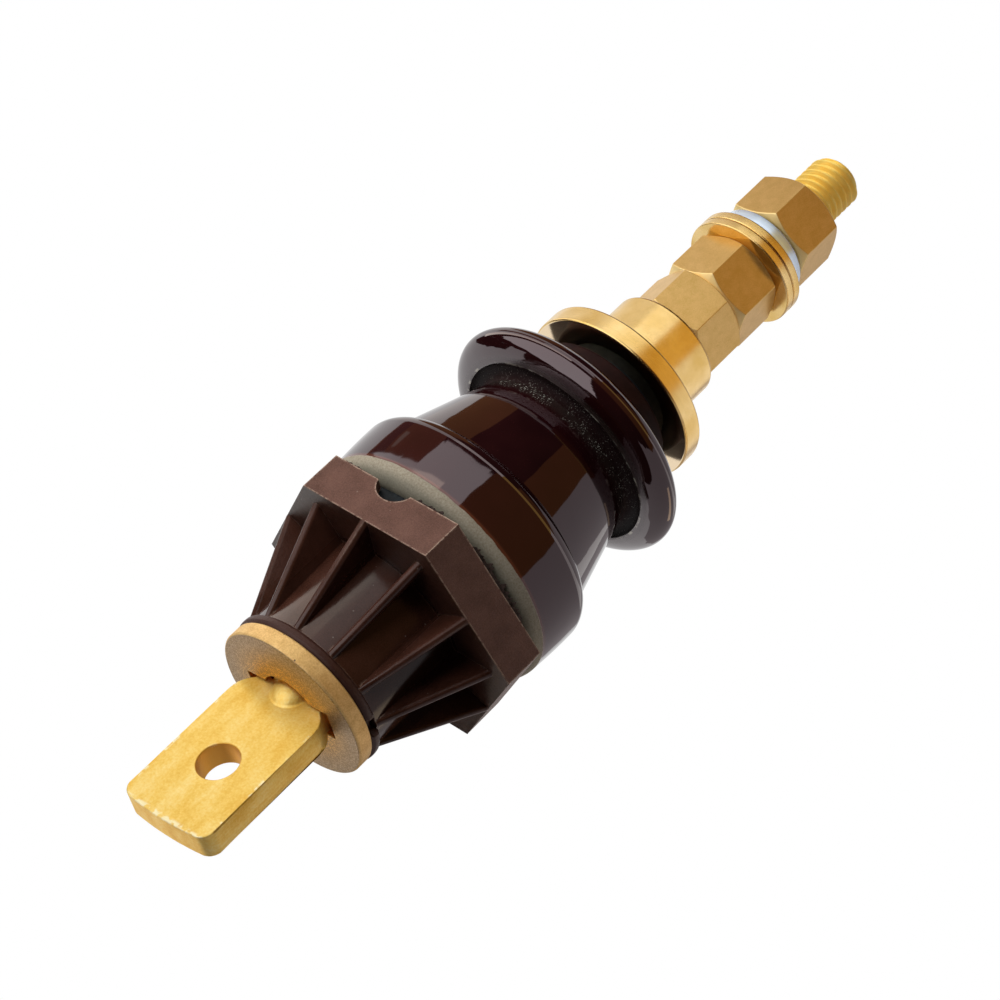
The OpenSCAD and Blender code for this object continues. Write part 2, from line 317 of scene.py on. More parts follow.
def drawn_brass():
    """Nuts: cut from drawn bar, satin, faintly tarnished and streaked, with brighter turned ends."""
    m = Finish("drawn_brass")
    streaks = m.noise(0.6 * MM, 3, (1, 1, 0.25))
    tarnish = m.noise(2.4 * MM, 4)
    grain = m.noise(0.16 * MM, 1)
    tone = m.weighted((0.12, streaks), (0.38, tarnish), (0.5, grain))
    body = m.ramp(tone, (0.36, (0.61, 0.375, 0.105)), (0.64, (0.76, 0.50, 0.19)))
    upright = m.math("ABSOLUTE", m.part(m.add("NewGeometry").outputs["Normal"], 2))
    turned_end = m.smooth(upright, 0.3, 0.6)
    body = m.mix(turned_end, body, (0.98, 0.74, 0.33))
    worn = m.product(m.edges(0.3 * MM), 0.6)
    m.drive("Base Color", m.mix(worn, body, (0.93, 0.72, 0.36)))
    m.drive("Metallic", m.ranged(turned_end, 0.8, 0.5))
    m.drive("Roughness", m.ranged(tone, 0.34, 0.44))
    m.bump(tone, 0.006 * MM)
    return m.material


# Bottom washer, in millimetres from the axis: the slot's reach, and where the painted amber reflection of
# the palm round it fades out
SLOT_REACH = 12.0
PALM_REFLECTION_REACH = (7.0, 16.0)


def blasted_brass():
    """Bottom washer: dull tan with a blasted skin, a painted amber reflection of the palm around it,
    painted shade in the slot, a painted highlight on its edges, and a brighter rim.
    """
    m = Finish("blasted_brass")
    bottom, rim_r = span("bottom_washer")[0], reach("bottom_washer")
    grain = m.noise(0.3 * MM, 2)
    r = m.radius()
    # Painted reflection: the face turns amber towards the palm, as if it mirrored it
    middle = m.smooth(r, PALM_REFLECTION_REACH[1], PALM_REFLECTION_REACH[0])
    rim = m.smooth(r, rim_r - 0.45, rim_r - 0.15)
    above_face = m.smooth(m.height(), bottom + 0.1, bottom + 0.3)
    # Painted shade: the slot's walls and floor, above the face, are a darker orange
    slot = m.product(above_face, m.smooth(r, SLOT_REACH + 1, SLOT_REACH))
    face = m.mix(middle, (0.44, 0.335, 0.235), (0.68, 0.38, 0.075))
    face = m.mix(m.product(m.smooth(grain, 0.6, 0.44), 0.75), face, (0.24, 0.165, 0.085))
    face = m.mix(slot, face, (0.55, 0.22, 0.04))
    tone = m.weighted((0.5, m.noise(2.5 * MM, 4)), (0.5, grain))
    tan = m.ramp(tone, (0.36, (0.70, 0.41, 0.13)), (0.62, (0.92, 0.62, 0.25)))
    body = m.mix(rim, face, tan)
    # Painted highlight: a pale line along the washer's edges
    body = m.mix(m.product(m.edges(0.35 * MM), 0.7), body, (0.95, 0.72, 0.38))
    body = m.mix(m.product(m.specks(0.9 * MM, 0.045), rim), body, (0.16, 0.09, 0.045))
    m.drive("Base Color", body)
    m.drive("Metallic", m.ranged(rim, 0.85, 0.45))
    m.drive("Roughness", m.ranged(grain, 0.6, 0.48))
    m.bump(m.product(grain, m.ranged(rim, 1, 0.5)), 0.07 * MM)
    return m.material


def moulded_plastic():
    """Lower insulator and neck ring: faded on the flange, dark and glossy below, with worn edges on the
    flange, a painted highlight on the ribs' outer edges, and painted shade on the flash above the flange.
    """
    m = Finish("moulded_plastic", Specular_IOR_Level=0.35)
    bottom, top = span("lower_insulator")
    flange_bottom = top - FLANGE_T
    z, r = m.height(), m.radius()
    grain = m.noise(0.25 * MM, 2)
    tone = m.weighted((0.5, m.noise(5 * MM, 4)), (0.5, grain))
    faded = m.ramp(tone, (0.35, (0.083, 0.037, 0.026)), (0.65, (0.163, 0.080, 0.059)))
    glossy = m.ramp(tone, (0.35, (0.036, 0.012, 0.007)), (0.65, (0.066, 0.025, 0.016)))
    inner = m.smooth(z, flange_bottom + 0.2, flange_bottom - 0.1)
    body = m.mix(inner, faded, glossy)
    # Lighter edges: wear on the flange, and below it a painted highlight along the ribs' outer edges, at
    # 0.35 against 0.9
    past_rib = m.math("SUBTRACT", r, m.product(z, RIB_SLOPE))
    rib_edge_highlight = m.smooth(past_rib, RIB_EDGE - 1.4, RIB_EDGE - 0.8)
    rib_edge_highlight = m.product(rib_edge_highlight, m.smooth(z, flange_bottom - 0.3, flange_bottom - 0.9))
    wear = m.math("MAXIMUM", m.ranged(inner, 0.9, 0), m.product(rib_edge_highlight, 0.35))
    worn = m.product(m.edges(0.6 * MM), m.smooth(m.noise(0.8 * MM, 4), 0.34, 0.52), wear)
    body = m.mix(worn, body, (0.62, 0.45, 0.34))
    body = m.mix(m.product(m.specks(0.7 * MM, 0.012), 0.25), body, (0.48, 0.40, 0.34))
    collar = m.smooth(z, bottom + 0.3, bottom - 0.1)
    body = m.mix(m.product(collar, 0.45), body, (0.02, 0.006, 0.005))
    # Painted shade: everything above the flange's top, the flash teeth and the strip under them, is made
    # near black
    painted_flash_shade = m.smooth(z, top - 0.05, top + 0.1)
    m.drive("Base Color", m.mix(painted_flash_shade, body, (0.022, 0.011, 0.009)))
    wide = m.smooth(r, BARREL_R + 1.4, BARREL_R + 3.4)
    gloss = m.product(m.math("SUBTRACT", inner, collar), m.ranged(wide, 1, 0.5))
    m.drive("Roughness", m.ranged(gloss, 0.5, 0.16))
    skin = m.math("ADD", grain, m.noise(0.9 * MM, 3))
    m.bump(m.product(skin, m.ranged(gloss, 1, 0.15)), 0.06 * MM)
    return m.material


def brown_glaze():
    """Glazed porcelain, unglazed and beige on its foot, darker towards the flange with painted shade, and
    with dust around the undercut.
    """
    m = Finish("brown_glaze", Specular_IOR_Level=1.0, Specular_Tint=(1.0, 0.84, 0.88, 1))
    z = m.height()
    uneven = m.math("ADD", z, m.ranged(m.noise(3 * MM, 3), -0.25, 0.25))
    bare = m.smooth(uneven, FOOT_ROUND + 0.15, FOOT_ROUND - 0.1)
    thin = m.product(m.smooth(z, FOOT_ROUND + 0.9, FOOT_ROUND + 0.25), m.math("SUBTRACT", 1.0, bare))
    speckle = m.noise(0.35 * MM, 3)
    umber, beige, sand = (0.27, 0.23, 0.165), (0.36, 0.315, 0.24), (0.45, 0.40, 0.31)
    clay = m.ramp(speckle, (0.3, umber), (0.55, beige), (0.8, sand))
    # Painted shade: the foot turns dark and greenish towards the flange
    painted_foot_shade = m.product(m.smooth(z, FOOT_ROUND - 1, 0.5), m.ranged(m.noise(4 * MM, 3), 0.35, 0.95))
    clay = m.mix(painted_foot_shade, clay, (0.10, 0.105, 0.08))
    cloud = m.noise(9 * MM, 2)
    glaze = m.ramp(cloud, (0.3, (0.012, 0.0018, 0.0026)), (0.7, (0.021, 0.0038, 0.0042)))
    body = m.mix(m.product(thin, 0.8), glaze, (0.13, 0.035, 0.017))
    up = m.math("SUBTRACT", z, UNDERCUT_CENTRE[1])
    out = m.math("SUBTRACT", m.radius(), UNDERCUT_END_R)
    under = m.product(m.band(up, -3.8, -1.3, 0.9, 1.7), m.smooth(out, 0.4, -0.2))
    patches = m.smooth(m.noise(3 * MM, 3), 0.42, 0.62)
    crumbs = m.product(m.smooth(m.noise(0.3 * MM, 3), 0.57, 0.72), patches, under)
    ledge = m.product(m.band(out, -0.3, 0, 0.3, 0.7), m.band(up, -0.3, 0.3, 1.1, 1.4))
    ledge = m.product(ledge, m.smooth(m.noise(2.2 * MM, 4), 0.46, 0.68))
    dust = m.math("MAXIMUM", crumbs, ledge)
    film = m.product(m.band(up, -0.7, -0.1, 0.9, 1.2), m.smooth(out, -0.8, 0.4))
    film = m.math("MAXIMUM", film, m.product(under, 0.8))
    body = m.mix(m.product(film, 0.5), body, (0.022, 0.024, 0.02))
    body = m.mix(m.product(dust, 0.85), body, (0.72, 0.72, 0.62))
    m.drive("Base Color", m.mix(bare, body, clay))
    m.drive("Metallic", m.product(dust, 0.5))
    dull = m.math("MAXIMUM", m.product(film, 0.3), m.product(dust, 0.5))
    m.drive("Roughness", m.ranged(m.math("MAXIMUM", bare, dull), 0.05, 0.8))
    wave = m.noise(7 * MM, 1)
    m.bump(m.weighted((0.5, wave), (0.35, m.product(bare, speckle))), 0.12 * MM)
    return m.material


def dull_glaze():
    """The porcelain's neck under the cap: thin, matte and almost black."""
    m = Finish("dull_glaze", Specular_IOR_Level=0.15)
    cloud = m.noise(2 * MM, 4)
    dark, brown = (0.008, 0.0022, 0.0022), (0.018, 0.006, 0.005)
    m.drive("Base Color", m.ramp(cloud, (0.35, dark), (0.7, brown)))
    m.drive("Roughness", m.ranged(cloud, 0.55, 0.7))
    return m.material


def dusty_glaze():
    """The undercut below the shed: dark and matte, with sparse pale crumbs of dust."""
    m = Finish("dusty_glaze", Specular_IOR_Level=0.1)
    crumbs = m.math("ADD", m.noise(0.28 * MM, 3), m.ranged(m.noise(3 * MM, 3), -0.16, 0.1))
    dark, brown, pale = (0.009, 0.003, 0.003), (0.016, 0.009, 0.009), (0.34, 0.33, 0.29)
    m.drive("Base Color", m.ramp(crumbs, (0.38, dark), (0.6, brown), (0.74, pale)))
    m.drive("Roughness", m.ranged(crumbs, 0.5, 0.8))
    m.bump(crumbs, 0.06 * MM)
    return m.material


def black_rubber():
    """Gasket and seal: blue-black with a dusty bloom."""
    m = Finish("black_rubber", Roughness=0.62, Specular_IOR_Level=0.3)
    bloom = m.noise(1.2 * MM, 4)
    black, grey = (0.004, 0.006, 0.0075), (0.011, 0.015, 0.018)
    m.drive("Base Color", m.ramp(bloom, (0.35, black), (0.75, grey)))
    m.bump(m.noise(0.4 * MM, 2), 0.03 * MM)
    return m.material


def zinc_plate():
    """Spring washer: bright plated steel with streaks along the wire."""
    m = Finish("zinc_plate", Metallic=0.7)
    streaks = m.noise(0.3 * MM, 2, place=m.turned_place())
    m.drive("Base Color", m.ramp(streaks, (0.3, (0.62, 0.73, 0.88)), (0.7, (0.76, 0.87, 0.98))))
    m.drive("Roughness", m.ranged(m.noise(2 * MM, 3), 0.2, 0.28))
    m.bump(streaks, 0.001 * MM)
    return m.material


def oval(centre, reach_x, reach_y, start, end, steps):
    """Points on an oval from one angle to another, in degrees."""
    turns = [math.radians(start + (end - start) * i / steps) for i in range(steps + 1)]
    return [(centre[0] + reach_x * math.cos(a), centre[1] + reach_y * math.sin(a)) for a in turns]


def arc(centre, r, start, end, steps):
    return oval(centre, r, r, start, end, steps)


def rounded(corners, steps=5):
    """A closed outline through corners (x, y, radius), with each corner rounded."""
    points = []
    for i, (x, y, r) in enumerate(corners):
        here = Vector((x, y))
        to_last = (Vector(corners[i - 1][:2]) - here).normalized()
        to_next = (Vector(corners[(i + 1) % len(corners)][:2]) - here).normalized()
        half = to_last.angle(to_next) / 2
        if r <= 0 or half > math.radians(89.5):
            points.append((x, y))
            continue
        centre = here + (to_last + to_next).normalized() * r / math.sin(half)
        first = here + to_last * r / math.tan(half) - centre
        last = here + to_next * r / math.tan(half) - centre
        swing = first.angle_signed(last)
        for k in range(steps + 1):
            spoke = first.copy()
            spoke.rotate(Matrix.Rotation(-swing * k / steps, 2))
            points.append(tuple(centre + spoke))
    return points


def piece(name, mesh, slot, finish, *replaced):
    """Adds a mesh to the object, riding on its one body and standing for any CAD nodes named."""
    obj = bpy.data.objects.new(name, mesh)
    bpy.context.scene.collection.objects.link(obj)
    mesh.materials.append(finish)
    mesh.shade_smooth()
    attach(obj, "root")
    if replaced:
        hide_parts(*replaced)
    return obj


def grid_mesh(name, rows, closed_rows=True, caps=False):
    """A mesh from equal closed rows of points; closed_rows joins the last row to the first."""
    wide = len(rows[0])
    count = len(rows) if closed_rows else len(rows) - 1
    faces = []
    for i in range(count):
        a, b = i * wide, (i + 1) % len(rows) * wide
        faces += [(a + k, a + (k + 1) % wide, b + (k + 1) % wide, b + k) for k in range(wide)]
    if caps:
        faces.append(tuple(range(wide))[::-1])
        faces.append(tuple(range((len(rows) - 1) * wide, len(rows) * wide)))
    mesh = bpy.data.meshes.new(name)
    mesh.from_pydata([p for row in rows for p in row], [], faces)
    return mesh


def ring_points(r, z, steps):
    turns = [2 * math.pi * k / steps for k in range(steps)]
    return [(r * math.cos(a) * MM, r * math.sin(a) * MM, z * MM) for a in turns]


def soften(obj, width, angle=25):
    """Rounds the edges of a mesh that are sharper than the angle."""
    bevel = obj.modifiers.new("soft_edges", "BEVEL")
    bevel.width = width
    bevel.segments = 2
    bevel.limit_method = "ANGLE"
    bevel.angle_limit = math.radians(angle)
    flatten(obj)


def flatten(obj):
    """Keeps flat faces flat beside their rounded edges."""
    obj.modifiers.new("flat_faces", "WEIGHTED_NORMAL").keep_sharp = False


def turned(name, node, corners, slot, finish, steps=160):
    """A turned ring from its section's corners (r, z, radius), in millimetres."""
    rows = [ring_points(r, z, steps) for r, z in rounded(corners)]
    flatten(piece(name, grid_mesh(name, rows), slot, finish, node))


# Porcelain section, in millimetres, as the CAD has it but for the band's slight bow; the neck's own finish
# starts at DULL_FROM, and the undercut's at DUSTY_FROM
FOOT_ROUND = 3.8
FOOT_FLARE = 0.4
BAND_BOW = 0.12
BAND_TOP = 17.6
SHOULDER_R = 3.6
SHOULDER_SWEEP = 78
BODY_BASE_R = 25.0
BODY_FILLET = 0.6
LIP_CENTRE = (20.5, 43.9)
LIP_REACH = (7.1, 4.0)
LIP_SWEEP = (-75, 50)
UNDERCUT_CENTRE = (20.6, 39.3)
UNDERCUT_R = 1.65
UNDERCUT_SWEEP = (190, 30)
UNDERCUT_END_R = 22.0
NECK_R = 16.3
NECK_FOOT = 50.5
DULL_FROM = 47.2
DUSTY_FROM = 39.0
NECK_FILLET = 2.0
NECK_ROUND = 1.0
SPIGOT_R = 13.2
PORCELAIN_BORE_R = 7.25


def make_porcelain(finish, neck_finish, undercut_finish):
    """The porcelain in one piece, with finishes of their own on its neck and in its undercut."""
    low, top = span("porcelain_insulator")
    band_r = reach("porcelain_insulator")
    foot = (band_r - FOOT_FLARE - FOOT_ROUND, FOOT_ROUND)
    shoulder_z = BAND_TOP - SHOULDER_R * math.sin(math.radians(SHOULDER_SWEEP))
    section = [(PORCELAIN_BORE_R, low), (SPIGOT_R, low), (SPIGOT_R, 0)]
    section += arc(foot, FOOT_ROUND, -90, 0, 14)
    for i in range(1, 12):
        s = i / 12
        out = (s - 1) * FOOT_FLARE + BAND_BOW * 4 * s * (1 - s)
        section.append((band_r + out, FOOT_ROUND + s * (shoulder_z - FOOT_ROUND)))
    section += arc((band_r - SHOULDER_R, shoulder_z), SHOULDER_R, 0, SHOULDER_SWEEP, 16)
    section += arc((BODY_BASE_R + 0.5, BAND_TOP + BODY_FILLET), BODY_FILLET, 260, 195, 5)
    section += arc(UNDERCUT_CENTRE, UNDERCUT_R, *UNDERCUT_SWEEP, 20)
    section += oval(LIP_CENTRE, *LIP_REACH, *LIP_SWEEP, 56)
    section += arc((NECK_R + NECK_FILLET, NECK_FOOT + NECK_FILLET), NECK_FILLET, 244, 180, 10)
    section += arc((NECK_R - NECK_ROUND, top - NECK_ROUND), NECK_ROUND, 0, 90, 8)
    section += [(PORCELAIN_BORE_R, top)]
    rows = [ring_points(r, z, 256) for r, z in section]
    mesh = grid_mesh("porcelain_body", rows)
    obj = piece("porcelain_body", mesh, "brown_glaze", finish, "porcelain_insulator")
    mesh.materials.append(neck_finish)
    mesh.materials.append(undercut_finish)
    for face in mesh.polygons:
        r, z = face.center.xy.length / MM, face.center.z / MM
        if z > DULL_FROM:
            face.material_index = 1
        elif r < UNDERCUT_END_R and z > DUSTY_FROM:
            face.material_index = 2
    flatten(obj)


# Cap, in millimetres, as the CAD has it; the flat washers have the same bore
CAP_DISC_T = 4.6
CAP_BORE_R = 6.5
HUB_R = 12.2


def make_cap(finish):
    low, top = span("thrust_cap")
    r = reach("thrust_cap")
    disc = low + CAP_DISC_T
    turned("turned_cap", "thrust_cap", [
        (CAP_BORE_R, low, 0.2), (r, low, 0.55), (r, disc, 0.5), (HUB_R, disc, 0.6),
        (HUB_R, top, 0.7), (CAP_BORE_R, top, 0.2),
    ], "brass", finish)


def make_flat_washers(finish):
    for node in ("lower_flat_washer", "upper_flat_washer"):
        low, top = span(node)
        r = reach(node)
        turned(node + "_turned", node, [
            (CAP_BORE_R, low, 0.1), (r, low, 0.35), (r, top, 0.35), (CAP_BORE_R, top, 0.1),
        ], "brass", finish, 128)


# Nuts, in millimetres, and the turn of each in degrees; the chamfer is flatter than the CAD's
NUT_AF = 19.2
NUT_CORNER_R = 0.3
NUT_EDGE = 0.16
NUT_CHAMFER_R = 9.3
NUT_CHAMFER_SLOPE = 0.65
NUT_BORE_R = 5.48
NUT_SINK = 1.0
NUT_TURNS = {"clamp_nut": 23, "lock_nut": 50, "terminal_nut": 50.6}


def make_nut(node, turn, finish):
    """A hexagon nut whose walls end in the curves that a turned chamfer leaves."""
    low, top = span(node)
    corner = NUT_AF / 2 / math.cos(math.radians(30))
    hexagon = [(x, y, NUT_CORNER_R) for x, y in arc((0, 0), corner, turn, turn + 300, 5)]
    outline = []
    loop = [Vector(p) for p in rounded(hexagon, 4)]
    for a, b in zip(loop, loop[1:] + loop[:1]):
        steps = 12 if (b - a).length > 2 else 1
        outline += [tuple(a.lerp(b, i / steps)) for i in range(steps)]

    def ring(r, z):
        points = []
        for x, y in outline:
            scale = r / math.hypot(x, y) * MM
            points.append((x * scale, y * scale, z * MM))
        return points

    def wall(from_end, z):
        points = []
        for x, y in outline:
            drop = NUT_CHAMFER_SLOPE * max(math.hypot(x, y) - NUT_CHAMFER_R, 0)
            points.append((x * MM, y * MM, (z + from_end * drop) * MM))
        return points

    rows = [
        ring(NUT_BORE_R + NUT_SINK, low), ring(NUT_CHAMFER_R, low), wall(1, low), wall(-1, top),
        ring(NUT_CHAMFER_R, top), ring(NUT_BORE_R + NUT_SINK, top),
        ring(NUT_BORE_R, top - NUT_SINK), ring(NUT_BORE_R, low + NUT_SINK),
    ]
    name = node + "_drawn"
    obj = piece(name, grid_mesh(name, rows), "brass", finish, node)
    soften(obj, NUT_EDGE * MM, 20)


# Stud, in millimetres, as the CAD has it, but with worn corners and a slightly bowed end on the palm
STUD_R = 6.0
THREAD_PITCH = 1.75
THREAD_DEPTH = 1.0
THREAD_CREST = 0.12
THREAD_FLANK = 0.66
STUD_CHAMFER = 1.4
PALM_T = 5.8
PALM_CREASE = 0.45
PALM_CORNER_R = 3.0
PALM_END_BOW = 0.45
PALM_SHOULDER_R = 6.5
PALM_SHOULDER_Z = -42.3
PALM_SHOULDER_SWEEP = 55
PALM_ROOT = (8.68, -35.5)
PALM_EDGE = 0.28
HOLE_R = 4.3
HOLE_Z = -55.9
DOME_R = 5.0
DOME_Z = -35.9
DOME_FILLET = 1.1
DOME_SINK = 0.04


def thread_rows(bottom, top):
    """Rings up the threaded end, cut by a helix; crest and flank are shares of half a pitch."""
    steps = 96
    count = round((top - bottom) / (THREAD_PITCH / 18))
    rows = []
    for i in range(count + 1):
        z = bottom + (top - bottom) * i / count
        row = []
        for k in range(steps):
            turn = k / steps
            phase = (z / THREAD_PITCH - turn) % 1
            flank = abs(2 * phase - 1)
            depth = THREAD_DEPTH * min(max((flank - THREAD_CREST) / THREAD_FLANK, 0), 1)
            r = min(STUD_R - depth, STUD_R - STUD_CHAMFER + (top - z))
            angle = 2 * math.pi * turn
            row.append((r * math.cos(angle) * MM, r * math.sin(angle) * MM, z * MM))
        rows.append(row)
    return rows


def palm_mesh():
    """The flattened end: a filled outline with a hole, soft edges, and creased long sides."""
    half_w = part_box("stud")[1].x / MM
    end = span("stud")[0]
    half = [PALM_ROOT]
    shoulder = (half_w - PALM_SHOULDER_R, PALM_SHOULDER_Z)
    half += arc(shoulder, PALM_SHOULDER_R, PALM_SHOULDER_SWEEP, 0, 8)
    side_end = end + PALM_END_BOW + PALM_CORNER_R
    half += arc((half_w - PALM_CORNER_R, side_end), PALM_CORNER_R, 0, -90, 8)
    for k in range(5, 0, -1):
        half.append(((half_w - PALM_CORNER_R) * k / 6, end + PALM_END_BOW * (k / 6) ** 2))
    outline = half + [(-x, z) for x, z in half[::-1]]
    hole = arc((0, HOLE_Z), HOLE_R, 0, 360, 56)[:-1]
    curve = bpy.data.curves.new("palm", "CURVE")
    curve.dimensions = "2D"
    curve.fill_mode = "BOTH"
    curve.extrude = (PALM_T / 2 - PALM_EDGE) * MM
    curve.bevel_depth = PALM_EDGE * MM
    curve.bevel_resolution = 3
    curve.offset = -PALM_EDGE * MM
    for loop in (outline, hole):
        spline = curve.splines.new("POLY")
        spline.points.add(len(loop) - 1)
        for point, (x, z) in zip(spline.points, loop):
            point.co = (x * MM, z * MM, 0, 1)
        spline.use_cyclic_u = True
    holder = bpy.data.objects.new("palm", curve)
    bpy.context.scene.collection.objects.link(holder)
    bpy.context.view_layer.update()
    depsgraph = bpy.context.evaluated_depsgraph_get()
    made = bpy.data.meshes.new_from_object(holder.evaluated_get(depsgraph))
    bpy.data.objects.remove(holder)
    made.transform(Matrix.Rotation(math.pi / 2, 4, "X"))
    shape = bmesh.new()
    shape.from_mesh(made)
    bmesh.ops.remove_doubles(shape, verts=shape.verts, dist=0.002 * MM)
    everything = shape.verts[:] + shape.edges[:] + shape.faces[:]
    bmesh.ops.bisect_plane(shape, geom=everything, plane_co=(0, 0, 0), plane_no=(0, 1, 0))
    for v in shape.verts:
        if abs(v.co.x) > (half_w - PALM_EDGE) * MM and v.co.z > side_end * MM:
            out = PALM_CREASE * abs(v.co.y) / (PALM_T / 2 * MM) * MM
            v.co.x -= math.copysign(out, v.co.x)
    shape.to_mesh(made)
    shape.free()
    return made


def dome_rows():
    """The round end of the shank standing out of the palm's face, with a fillet at its foot."""
    face = PALM_T / 2 - DOME_SINK
    foot_r = math.sqrt((DOME_R + DOME_FILLET) ** 2 - (face + DOME_FILLET) ** 2)
    meet = math.degrees(math.asin((face + DOME_FILLET) / (DOME_R + DOME_FILLET)))
    section = arc((foot_r, face + DOME_FILLET), DOME_FILLET, 270, 180 + meet, 14)
    section += arc((0, 0), DOME_R, meet, 88, 16)[1:]
    return [
        [(r * math.cos(a) * MM, -y * MM, (DOME_Z + r * math.sin(a)) * MM)
         for a in [2 * math.pi * k / 64 for k in range(64)]]
        for r, y in section
    ]


def make_stud(finish, thread_finish):
    """Palm, dome, shank and thread, joined in one mesh."""
    thread_bottom = span("terminal_nut")[1] - 2
    top = span("stud")[1]
    shank = [ring_points(STUD_R, PALM_ROOT[1], 64), ring_points(STUD_R, span("clamp_nut")[0], 64)]
    thread = grid_mesh("thread", thread_rows(thread_bottom, top), False, True)
    thread.polygons.foreach_set("material_index", [1] * len(thread.polygons))
    shape = bmesh.new()
    for part in (
        palm_mesh(),
        grid_mesh("dome", dome_rows(), False, True),
        grid_mesh("shank", shank, False, True),
        thread,
    ):
        shape.from_mesh(part)
        bpy.data.meshes.remove(part)
    mesh = bpy.data.meshes.new("threaded_stud")
    bmesh.ops.recalc_face_normals(shape, faces=shape.faces)
    shape.to_mesh(mesh)
    shape.free()
    obj = piece("threaded_stud", mesh, "brass", finish, "stud")
    mesh.materials.append(thread_finish)
    flatten(obj)


# Neck ring, in millimetres and degrees: the gap in its rim, and its seams
RING_GAP_TURN = 1.5
RING_GAP_W = 4.0
RING_GAP_DEPTH = 2.0
RING_SEAM = 0.3
RING_SWAY = 0.16


def make_neck_ring(finish):
    """A squeezed collar: its seams wander, and a gap is cut in its rim."""
    low, top = span("neck_ring")
    r = reach("neck_ring")
    half_gap = math.degrees(RING_GAP_W / 2 / r)
    steps = 360
    levels = [(0, -1.2), (0, -0.5), (RING_SEAM, -0.45), (RING_SEAM + 0.12, 0), (0.75, 0.05)]
    section = [(low + z, out) for z, out in levels]
    section += [(top - z, out) for z, out in levels[::-1]]
    rows = []
    for z, out in section:
        row = []
        for k in range(steps):
            turn = 360 * k / steps
            angle = math.radians(turn)
            x, y = math.cos(angle), math.sin(angle)
            sway = RING_SWAY * noise.noise(Vector((4 * x, 4 * y, z > (low + top) / 2)))
            inside = low + 0.1 < z < top - 0.1
            off = (turn - RING_GAP_TURN + 180) % 360 - 180
            radius = r + out - (RING_GAP_DEPTH if abs(off) < half_gap else 0)
            row.append((radius * x * MM, radius * y * MM, (z + (sway if inside else 0)) * MM))
        rows.append(row)
    rows = [ring_points(STUD_R + 0.5, low, steps)] + rows + [ring_points(STUD_R + 0.5, top, steps)]
    mesh = grid_mesh("neck_collar", rows)
    flatten(piece("neck_collar", mesh, "brown_plastic", finish, "neck_ring"))


# Lower insulator, in millimetres, as the CAD has it; a rib's outer edge lies at
# r = RIB_EDGE + RIB_SLOPE * z
FLANGE_AF = 53.8
FLANGE_T = 9.3
BARREL_R = 16.6
RIB_SLOPE = 0.472
RIB_EDGE = 31.6
FLASH_T = 0.4
# Torn flash on the flange's upper edge, with a dark strip under its teeth that stands in for the shade in
# the gap above the flange: turn of the side, from where to where along it, and its height
FLASH = ((334.9, -10.5, 8.5, 1.9), (274.9, 4.4, 12.5, 0.8), (274.9, -14, -6, 0.3))


def make_flash(finish):
    """Small uneven teeth that stand along the flange's upper edge, on a strip that stands in for the shade
    in the gap above it; both take painted shade from the plastic.
    """
    chance = random.Random(4)
    z = span("lower_insulator")[1] - 0.2
    shape = bmesh.new()
    for turn, start, end, height in FLASH:
        side = Matrix.Rotation(math.radians(turn), 4, "Z")
        out = FLANGE_AF / 2 - 0.1
        low = z + 0.2 + 0.35 * height
        # The first outline is a strip that stands in for the shade in the gap between the flange and the
        # porcelain's foot
        outlines = [[(start, z), (end, z), (end - 1, low), (start + 1, low)]]
        at = start + 0.5
        while at < end - 2:
            wide = chance.uniform(0.8, 2.1)
            tall = height * chance.uniform(0.3, 1.0) + 0.25
            lean = chance.uniform(0.55, 0.85) * wide
            tip = at + lean
            outlines.append([(at, z), (at + wide, z), (tip + 0.12, z + tall), (tip - 0.12, z + tall)])
            at += wide * chance.uniform(0.6, 1.0)
        for outline in outlines:
            front, back = [
                [shape.verts.new(side @ Vector((x * MM, y * MM, h * MM))) for y, h in outline]
                for x in (out, out - FLASH_T)
            ]
            shape.faces.new(front)
            shape.faces.new(back[::-1])
            for k in range(4):
                shape.faces.new([front[k], back[k], back[(k + 1) % 4], front[(k + 1) % 4]])
    bmesh.ops.recalc_face_normals(shape, faces=shape.faces)
    mesh = bpy.data.meshes.new("flash_and_shade_strip")
    shape.to_mesh(mesh)
    shape.free()
    piece("flash_and_shade_strip", mesh, "brown_plastic", finish)
    mesh.shade_flat()


def soften_cad(node, width):
    """Rounds a CAD node's edges with modifiers; its mesh stays as it is."""
    obj = nodes[node]
    obj.modifiers.new("joined", "WELD").merge_threshold = 0.001 * MM
    whole = obj.modifiers.new("whole_faces", "DECIMATE")
    whole.decimate_type = "DISSOLVE"
    whole.angle_limit = math.radians(0.5)
    soften(obj, width, 28)


def dress(node, finish):
    obj = nodes[node]
    obj.data.materials.clear()
    obj.data.materials.append(finish)


# Light: one wide softbox in front and a weak fill behind, by azimuth and elevation in degrees, in metres
# and watts, and the plain level all round
KEY_DIRECTION = (-24, 0)
KEY_DISTANCE = 0.62
KEY_SIZE = (1.0, 0.36)
KEY_POWER = 5.5
FILL_DIRECTION = (150, -10)
FILL_DISTANCE = 0.9
FILL_SIZE = (0.8, 0.8)
FILL_POWER = 2.6
AMBIENT = 0.025
